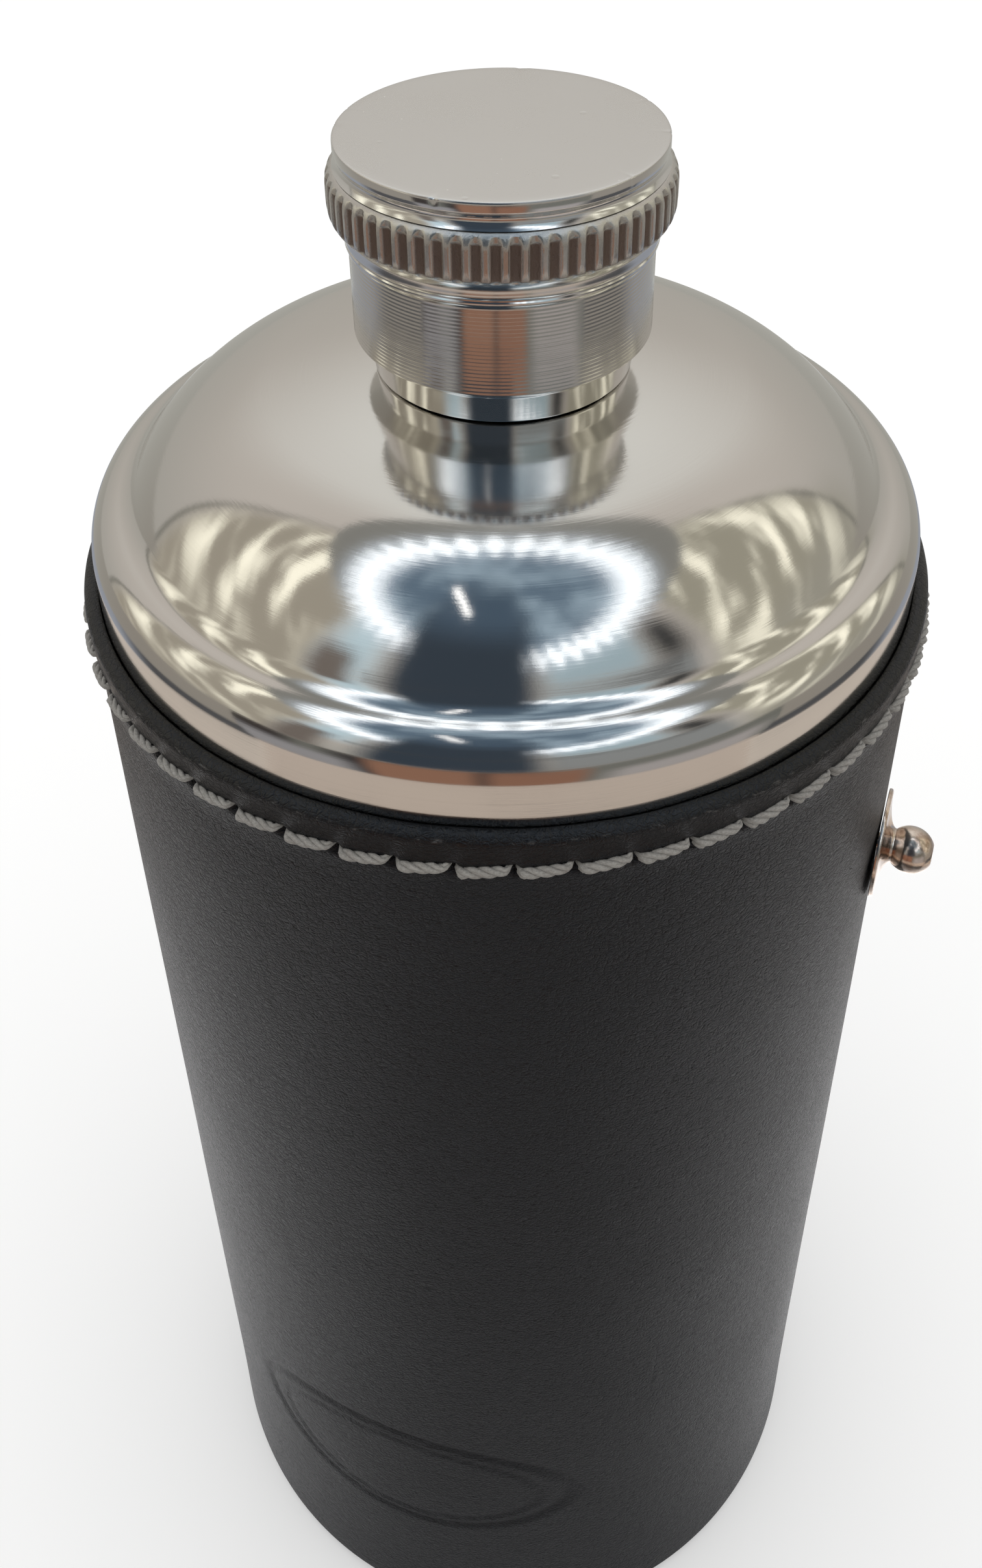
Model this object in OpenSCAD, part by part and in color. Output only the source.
// Round hunter flask: a welded steel bottle with a domed shoulder, a screw cap on a threaded neck,
// and a stitched leather sleeve that carries two ball studs for a shoulder strap.
// Millimetres, +Z up, origin at the centre of the base. The studs lie on the X axis, the sleeve's
// back seam is at +Y.

/* [Bottle] */
// Outer diameter of the steel wall
bottle_d = 63.2; // [50:0.1:80]
// Thickness of the steel sheet
sheet_t = 0.6; // [0.4:0.05:1]
// Height of bare wall between the sleeve and the shoulder's rolled edge
bare_wall_h = 3.2; // [1:0.1:8]
// Length of the lap where the wall slides inside the shoulder's skirt
lap_h = 3; // [2:0.5:6]
// Height of the base pan's upturned rim
pan_rim_h = 4; // [2:0.5:8]
// Depth of the hollow pressed into the base pan
pan_hollow = 1.2; // [0.5:0.1:3]

/* [Shoulder] */
// Height of the crown's top above the centre of the rolled edge
shoulder_rise = 13; // [10:0.1:16]
// Radius of the wide crown arc
crown_r = 79.7; // [60:0.1:120]
// Radius of the knuckle that turns the crown down
knuckle_r = 16.8; // [14:0.1:20]
// Distance from the wall in to the knuckle's centre
knuckle_inset = 17.7; // [15:0.1:20]
// Radius of the rolled edge
roll_r = 3.2; // [2:0.1:4]
// Radius of the hollow crease between knuckle and roll
crease_r = 2.6; // [1.5:0.1:4]

/* [Neck] */
// Outer diameter over the neck's thread
thread_d = 15.4; // [12:0.1:20]
// Radial height of the thread ridge
thread_h = 0.65; // [0.4:0.05:0.9]
// Rise of the thread in one turn
pitch = 3; // [2.5:0.1:4]
// Turns of thread on the neck and in the cap
turns = 2.25; // [1:0.25:2.5]
// Wall of the neck under its thread
neck_wall = 0.95; // [0.8:0.05:1.5]
// Height of the neck's lip above the crown's top
neck_h = 11.8; // [11:0.1:16]
// Width of the flange that carries the neck under the shoulder
flange_w = 2; // [1:0.1:4]

/* [Cap] */
// Wall of the moulded thread insert
insert_wall = 0.8; // [0.6:0.05:1.2]
// Thickness of the insert's closed end
insert_top = 1; // [0.6:0.1:2]
// Thickness of the soft seal
seal_t = 1.2; // [0.8:0.1:2]
// Wall of the cap's skirt around its bore
skirt_wall = 1.95; // [1.5:0.05:3]
// Wall of the narrower band at the foot of the cap
foot_wall = 0.6; // [0.5:0.05:1.4]
// Height of that polished band
band_h = 2; // [1:0.1:3]
// Height of the slanted underside between the band and the skirt
ledge_h = 0.9; // [0.2:0.1:1.5]
// Thickness of the web that closes the cap
web_t = 1.05; // [0.8:0.05:2]
// Height of the top disc, its cove included
disc_h = 1.95; // [1.5:0.05:3]
// Height of the plain edge of the top disc
disc_edge_h = 0.85; // [0.5:0.05:1.2]
// How far the knurled ring stands out from the skirt
knurl_step = 1.3; // [1:0.05:2]
// Height of the knurled ring
knurl_h = 3.7; // [3:0.1:5]
// Number of flutes round the knurled ring
flutes = 60; // [40:1:72]
// Radius of one flute
flute_r = 0.48; // [0.3:0.02:0.55]
// Depth of one flute
flute_depth = 0.31; // [0.2:0.01:0.4]

/* [Sleeve] */
// Height of the leather sleeve
sleeve_h = 122; // [90:1:160]
// Thickness of the leather
leather_t = 0.85; // [0.6:0.05:1.5]
// Swell of the stitched rim beyond the sleeve's side
rim_swell = 0.35; // [0.1:0.05:0.8]
// Depth of the stitch line below the sleeve's top edge
stitch_drop = 2.95; // [2:0.05:5]
// Radius of the sleeve's rounded lower edge
lower_edge_r = 2; // [1.2:0.1:4]
// Width of the hem turned under the bottle
hem_w = 9; // [5:0.5:14]
// Width of the slit at the back seam
seam_gap = 0.25; // [0.1:0.05:0.5]

/* [Stitching] */
// Diameter of the thread
cord_d = 0.76; // [0.5:0.02:0.9]
// Number of stitches round the rim
rim_stitches = 52; // [30:1:64]
// Share of each stitch's pitch that is thread, the rest being hole
stitch_fill = 0.86; // [0.6:0.02:0.9]
// Number of stitches in one row of the back seam
seam_stitches = 27; // [12:1:30]
// Distance of each seam row from the seam
seam_row = 2.6; // [2:0.1:5]

/* [Studs] */
// Height of the studs above the base
stud_z = 97.6; // [60:0.1:105]
// Diameter of a stud's flange
stud_flange_d = 9; // [7:0.1:12]
// Diameter of a stud's ball
stud_ball_d = 3.9; // [3.4:0.1:5]
// Diameter of a stud's waist
stud_waist_d = 2.8; // [2.4:0.1:3.2]
// How far a stud stands out from the leather
stud_out = 4.3; // [4:0.1:6]
// Diameter of the screw that holds a stud
screw_d = 1.6; // [1.2:0.1:2]
// Diameter of that screw's flat head
screw_head_d = 6.4; // [5:0.1:8]
// Thickness of that screw's flat head
screw_head_t = 0.4; // [0.3:0.05:0.5]

/* [Hidden] */
$fn = 96;
EPS = 0.01;             // overshoot of a cut, so that no skin of zero thickness is left
fit = 0.05;             // gap between pieces that are glued, brazed or pressed together
run = 0.25;             // radial clearance between the two threads
cap_gap = 0.25;         // gap between the cap's foot and the shoulder
ARC = 4;                // degrees between the points of an arc
STEPS = [0:0.125:1];    // points along a short curve
CORD_FN = 24;           // facets round a thread and its groove

// Bottle levels and radii
bottle_r = bottle_d / 2;
inner_r = bottle_r - sheet_t;
bottle_z = leather_t + fit;
roll_z = sleeve_h + bare_wall_h;
crown_z = roll_z + shoulder_rise;
skirt_z = sleeve_h - lap_h;
swage_z = [skirt_z - 2.5 * lap_h, skirt_z - 2 * lap_h];     // where the wall is drawn in for the lap

// Shoulder arcs: crown, knuckle, crease and roll touch each other without a corner
crown_c = [0, crown_z - crown_r];
knuckle_x = bottle_r - knuckle_inset;
crown_a = asin(knuckle_x / (crown_r - knuckle_r));
knuckle_c = crown_c + (crown_r - knuckle_r) * [sin(crown_a), cos(crown_a)];
roll_c = [bottle_r - roll_r, roll_z];
crease_c = meet(knuckle_c, knuckle_r + crease_r, roll_c, roll_r + crease_r);
knuckle_a = from_up(crease_c - knuckle_c);
roll_a = from_up(crease_c - roll_c);

// Neck and thread
thread_r = thread_d / 2;
neck_r = thread_r - thread_h;
bore_r = neck_r - neck_wall;
lip_z = crown_z + neck_h;
ridge_root = 1.5;       // height of the ridge where it leaves the neck
ridge_crest = 0.6;      // height of the ridge at its crest
bite = 0.1;             // how far a ridge is sunk in the wall that carries it
SEG = 20;               // facets in one turn of thread
thread_drop = 2.2;      // plain neck between the lip and the end of its thread
thread_lag = 1;         // how far the cap's thread runs under the neck's when closed
neck_thread_z = lip_z - thread_drop - turns * pitch;
insert_thread_z = neck_thread_z - thread_lag;

// Cap levels and radii
cap_z = crown_at(thread_r + run + insert_wall) + cap_gap;
insert_bore_r = thread_r + run;
insert_r = insert_bore_r + insert_wall;
cap_bore_r = insert_r + fit;
skirt_r = cap_bore_r + skirt_wall;
foot_r = cap_bore_r + foot_wall;
seal_top = lip_z + seal_t;
ceiling_z = seal_top + insert_top + fit;
web_z = ceiling_z + web_t;
cap_top = web_z + disc_h;
knurl_r = skirt_r + knurl_step;
knurl_z = web_z - knurl_h;
band_taper = 0.1;       // how much wider the foot's band is at its top
ring_seat = 0.2;        // how far the knurled ring reaches in past the skirt
disc_inset = 0.75;      // how far the top disc stays inside the knurled ring
disc_bevel = 0.1;
cove_depth = 0.3;       // depth of the cove under the disc's edge
cove_flare = 0.2;       // how much wider the cove's foot is than its top
insert_lift = 0.4;      // height of the insert's foot above the cap's foot
ring_bore_r = skirt_r - ring_seat;
disc_r = knurl_r - disc_inset;
cove_r = disc_r - cove_depth;
dowel_r = 4;            // dowel that centres the disc in the cap's web

// Steps from the turned skirt to the collar: [out from the skirt, up from the knurled ring's foot]
COLLAR_STEPS = [[0, -2.05], [0.2, -1.85], [0.25, -1.55], [0.35, -1.2]];
COLLAR_TOP = [[-0.15, -0.3], [0, -fit]];    // collar's upper edge, from its own radius
collar_inset = 0.7;     // how far the collar stays inside the knurled ring
// Rounded edges of the knurled ring: [out from its radius, up from its foot or its top]
RING_LOW = [[-0.5, 0], [-0.27, 0.2], [-0.08, 0.6], [0, 1.2]];
RING_HIGH = [[0, -1.1], [-0.08, -0.6], [-0.3, -0.2]];
ring_top_step = 0.15;   // how far the ring's flat top reaches past the disc

// Sleeve
sleeve_in_r = bottle_r + fit;
sleeve_r = sleeve_in_r + leather_t;
rim_r = sleeve_r + rim_swell;
stitch_z = sleeve_h - stitch_drop;
cord_r = cord_d / 2;
cord_out = 0.02;                // how far a thread's centre line lies outside the leather
cord_at = rim_r + cord_out;     // radius of the rim stitches' centre line
groove_r = cord_r + fit;
stitch_pitch = 360 / rim_stitches;
stitch_a = stitch_pitch * stitch_fill;
seam_from = 6;                  // height of the first seam stitch
seam_pitch = (stitch_z - stitch_drop - seam_from) / seam_stitches;
seam_cord_x = sleeve_r + cord_out;
pad_gap = 0.3;                  // gap between the hem and the base pad
pad_r = sleeve_r - hem_w - pad_gap;
swell_h = 2 * stitch_drop;      // height of the swollen rim
swell_end = 0.9;                // its widest point, as a share of the stitches' drop
// Rounded top edge of the sleeve: [out from the sleeve's side, in swells; down from the top]
RIM_EDGE = [[0.4, 0.35], [1, 1.2]];
rim_flat = 0.15;                // how far the flat top edge stays inside the sleeve's side

// Studs
ball_r = stud_ball_d / 2;
waist_r = stud_waist_d / 2;
ball_tip = 0.9;                 // height of the ball's flattened tip over its centre, in radii
TIP_R = 0.43;                   // radius of that tip, in radii of the ball
ball_out = stud_out - ball_r * ball_tip;
waist_out = ball_out - sqrt(ball_r * ball_r - waist_r * waist_r);
flange_edge = 0.35;             // thickness of the flange at its rim
flange_side = 0.7;              // share of that thickness that is straight
flange_bevel = 0.2;
screw_play = 0.04;              // difference between the screw's diameter and its hole's
stud_from = sleeve_r + fit;
screw_in = ball_out;            // reach of the screw inside the stud

// ---- Geometry helpers ----

// Angle of a direction, counted from straight up towards +x
function from_up(v) = atan2(v[0], v[1]);

// The upper of the two points at distance ra from a and rb from b
function meet(a, ra, b, rb) =
    let (d = norm(b - a), u = (b - a) / d, s = (d * d + ra * ra - rb * rb) / (2 * d))
    a + s * u + sqrt(ra * ra - s * s) * [-u[1], u[0]];

// Points of an arc about c from angle a0 to a1, both counted from straight up
function arc(c, r, a0, a1) =
    let (n = max(2, ceil(abs(a1 - a0) / ARC)))
    [for (i = [0:n]) let (a = a0 + (a1 - a0) * i / n) c + r * [sin(a), cos(a)]];

// Height of the crown's outside at radius r
function crown_at(r) = crown_c[1] + sqrt(crown_r * crown_r - r * r);

// Outline of the shoulder from the neck hole to the wall, at depth o inside the outer skin
function shoulder_line(o, hole_r) = concat(
    arc(crown_c, crown_r - o, asin(hole_r / (crown_r - o)), crown_a),
    arc(knuckle_c, knuckle_r - o, crown_a + 1, knuckle_a),
    arc(crease_c, crease_r + o, knuckle_a + 180 - ARC, roll_a + 180),
    arc(roll_c, roll_r - o, roll_a + ARC, 90));

function reversed(p) = [for (i = [len(p) - 1:-1:0]) p[i]];

// One closed helical ridge, root on radius r_root and crest on radius r_crest
module ridge(r_root, r_crest, z0) {
    n = round(turns * SEG);
    lead = SEG / 4;     // facets over which the ridge's ends run out
    section = function (k)
        let (g = min(1, k / lead, (n - k) / lead), r = r_root + (r_crest - r_root) * max(g, 0.02),
             a = 360 * k / SEG, z = z0 + pitch * k / SEG, p = [cos(a), sin(a)])
        [concat(r_root * p, z - ridge_root / 2), concat(r * p, z - ridge_crest / 2),
         concat(r * p, z + ridge_crest / 2), concat(r_root * p, z + ridge_root / 2)];
    points = [for (k = [0:n]) each section(k)];
    out = r_crest > r_root;
    sides = [for (k = [0:n - 1], j = [0:3])
        let (a = 4 * k + j, b = 4 * k + (j + 1) % 4) each [[a, b, b + 4], [a, b + 4, a + 4]]];
    ends = [[3, 2, 1], [3, 1, 0], [4 * n, 4 * n + 1, 4 * n + 2], [4 * n, 4 * n + 2, 4 * n + 3]];
    all_faces = concat(sides, ends);
    polyhedron(points, out ? all_faces : [for (f = all_faces) reversed(f)]);
}

// Copies its children to the stud places at +X and -X, their Z axis pointing outwards
module at_studs() {
    for (side = [0, 180]) rotate([0, 0, side]) translate([0, 0, stud_z]) rotate([0, 90, 0]) children();
}

// ---- Bottle ----

module shoulder_dome() {
    hole_r = neck_r + fit;
    color("silver") rotate_extrude()
        polygon(concat(shoulder_line(0, hole_r), [[bottle_r, skirt_z], [inner_r, skirt_z]],
                       reversed(shoulder_line(sheet_t, hole_r))));
}

module body_tube() {
    lap_r = inner_r - fit;
    color("gray") rotate_extrude()
        polygon([[inner_r, bottle_z], [bottle_r, bottle_z], [bottle_r, skirt_z - fit],
                 [lap_r, skirt_z - fit], [lap_r, sleeve_h - fit], [lap_r - sheet_t, sleeve_h - fit],
                 [lap_r - sheet_t, swage_z[1]], [inner_r, swage_z[0]]]);
}

module base_pan() {
    pan_r = inner_r - fit;
    flat_r = pad_r - hem_w / 2;     // inner edge of the flat ring that the base pad is glued to
    hollow_r = flat_r - 2 * pan_hollow;
    color("gray") rotate_extrude()
        polygon([[0, bottle_z + pan_hollow], [hollow_r, bottle_z + pan_hollow],
                 [flat_r, bottle_z], [pan_r, bottle_z], [pan_r, bottle_z + pan_rim_h],
                 [pan_r - sheet_t, bottle_z + pan_rim_h], [pan_r - sheet_t, bottle_z + sheet_t],
                 [flat_r, bottle_z + sheet_t], [hollow_r, bottle_z + pan_hollow + sheet_t],
                 [0, bottle_z + pan_hollow + sheet_t]]);
}

module neck_tube() {
    flange_r = neck_r + flange_w;
    flange_z = crown_at(flange_r) - sheet_t - fit;
    lip_r = neck_wall / 2;
    color("silver") {
        rotate_extrude() {
            polygon([[bore_r, flange_z - sheet_t], [flange_r, flange_z - sheet_t], [flange_r, flange_z],
                     [neck_r, flange_z], [neck_r, lip_z - lip_r], [neck_r - lip_r / 2, lip_z],
                     [bore_r + lip_r / 2, lip_z], [bore_r, lip_z - lip_r]]);
        }
        ridge(neck_r - bite, thread_r, neck_thread_z);
    }
}

// ---- Cap ----

module cap_shell() {
    collar_r = knurl_r - collar_inset;
    color("silver") rotate_extrude()
        polygon(concat([[cap_bore_r, cap_z], [foot_r, cap_z], [foot_r + band_taper, cap_z + band_h],
                        [skirt_r, cap_z + band_h + ledge_h]],
                       [for (p = COLLAR_STEPS) [skirt_r, knurl_z] + p],
                       [for (p = COLLAR_TOP) [collar_r, knurl_z] + p],
                       [[ring_bore_r - fit, knurl_z - fit], [ring_bore_r - fit, web_z],
                        [dowel_r + fit, web_z], [dowel_r + fit, ceiling_z], [cap_bore_r, ceiling_z]]));
}

module knurled_ring() {
    color("silver") difference() {
        rotate_extrude()
            polygon(concat([[ring_bore_r, knurl_z]], [for (p = RING_LOW) [knurl_r, knurl_z] + p],
                           [for (p = RING_HIGH) [knurl_r, web_z] + p],
                           [[disc_r + ring_top_step, web_z], [ring_bore_r, web_z]]));
        for (i = [0:flutes - 1]) rotate([0, 0, 360 * i / flutes])
            translate([knurl_r + flute_r - flute_depth, 0, knurl_z - EPS])
                cylinder(r = flute_r, h = knurl_h + 2 * EPS);
    }
}

module cap_disc() {
    edge_z = cap_top - disc_edge_h;
    foot_z = web_z + fit;
    bevel_r = disc_r - disc_bevel;
    cove_z = edge_z - disc_bevel / 2;
    cove = [for (t = STEPS) [bevel_r - (bevel_r - cove_r) * sin(180 * t) + cove_flare * t,
                             cove_z - (cove_z - foot_z) * t]];
    color("gainsboro") rotate_extrude()
        polygon(concat([[0, cap_top], [bevel_r, cap_top], [disc_r, cap_top - disc_bevel], [disc_r, edge_z]],
                       cove, [[dowel_r, foot_z], [dowel_r, ceiling_z], [0, ceiling_z]]));
}

module cap_insert() {
    top_z = ceiling_z - fit;
    foot_z = cap_z + insert_lift;
    color("dimgray") {
        rotate_extrude()
            polygon([[insert_bore_r, foot_z], [insert_r, foot_z], [insert_r, top_z], [0, top_z],
                     [0, seal_top], [insert_bore_r, seal_top]]);
        ridge(insert_bore_r + bite, insert_bore_r - thread_h + fit, insert_thread_z);
    }
}

module cap_seal() {
    color("whitesmoke") translate([0, 0, lip_z])
        cylinder(r = insert_bore_r - fit, h = seal_t - fit);
}

// ---- Sleeve ----

// Leather wall with the swollen rim, the rounded lower edge and the hem under the bottle
module sleeve_wall() {
    side = [for (t = STEPS) [sleeve_r + rim_swell * (1 - cos(180 * t)) / 2,
                             sleeve_h - swell_h + (swell_h - stitch_drop * swell_end) * t]];
    rotate_extrude()
        polygon(concat([[sleeve_in_r, leather_t], [sleeve_in_r, sleeve_h], [sleeve_r - rim_flat, sleeve_h]],
                       [for (p = RIM_EDGE) [sleeve_r + rim_swell * p[0], sleeve_h - p[1]]],
                       reversed(side),
                       arc([sleeve_r - lower_edge_r, lower_edge_r], lower_edge_r, 90, 180),
                       [[sleeve_r - hem_w, 0], [sleeve_r - hem_w, leather_t]]));
}

module leather_sleeve() {
    color([0.13, 0.13, 0.14]) difference() {
        sleeve_wall();
        rotate_extrude() translate([cord_at, stitch_z]) circle(r = groove_r, $fn = CORD_FN);
        translate([-seam_gap / 2, 0, -EPS]) cube([seam_gap, 2 * sleeve_r, sleeve_h + 2 * EPS]);
        for (side = [-1, 1]) rotate([0, 0, side * seam_angle()])
            translate([0, seam_cord_x, seam_from]) cylinder(r = groove_r, h = seam_stitches * seam_pitch);
        at_studs() {
            cylinder(d = screw_d + 2 * fit, h = 2 * sleeve_r);
            cylinder(d = screw_head_d + 2 * fit, h = sleeve_in_r + screw_head_t + fit);
        }
    }
}

// Angle round the sleeve from the back seam to one row of its stitches
function seam_angle() = atan(seam_row / sleeve_r);

module base_pad() {
    color([0.13, 0.13, 0.14]) cylinder(r = pad_r, h = leather_t);
}

module top_stitching() {
    color([0.72, 0.7, 0.68]) for (i = [0:rim_stitches - 1])
        rotate([0, 0, 90 + i * stitch_pitch + (stitch_pitch - stitch_a) / 2]) translate([0, 0, stitch_z])
            rotate_extrude(angle = stitch_a) translate([cord_at, 0]) circle(r = cord_r, $fn = CORD_FN);
}

module seam_stitching() {
    color([0.72, 0.7, 0.68]) for (side = [-1, 1], i = [0:seam_stitches - 1])
        rotate([0, 0, side * seam_angle()])
            translate([0, seam_cord_x, seam_from + seam_pitch * (i + (1 - stitch_fill) / 2)])
                cylinder(r = cord_r, h = seam_pitch * stitch_fill, $fn = CORD_FN);
}

// ---- Studs ----

module stud_posts() {
    flange_r = stud_flange_d / 2;
    flare_r = flange_r - flange_bevel;
    flare_h = waist_out - flange_edge;      // axial reach of the flare from flange to waist
    flare = [for (t = STEPS) [flare_r - (flare_r - waist_r) * sin(90 * t),
                              flange_edge + flare_h * (1 - cos(90 * t))]];
    ball_a = asin(waist_r / ball_r);
    color([0.75, 0.7, 0.66]) at_studs() translate([0, 0, stud_from]) rotate_extrude()
        polygon(concat([[screw_d / 2, 0], [flange_r, 0], [flange_r, flange_edge * flange_side]],
                       flare, arc([0, ball_out], ball_r, 180 - ball_a - ARC, asin(TIP_R)),
                       [[0, stud_out], [0, screw_in], [screw_d / 2, screw_in]]));
}

module stud_screws() {
    head_from = sleeve_in_r;
    screw_l = stud_from - head_from + screw_in - fit;
    color("gray") at_studs() translate([0, 0, head_from]) {
        cylinder(d = screw_head_d, h = screw_head_t);
        cylinder(d = screw_d - screw_play, h = screw_l);
    }
}

shoulder_dome();
body_tube();
base_pan();
neck_tube();
cap_shell();
knurled_ring();
cap_disc();
cap_insert();
cap_seal();
leather_sleeve();
base_pad();
top_stitching();
seam_stitching();
stud_posts();
stud_screws();
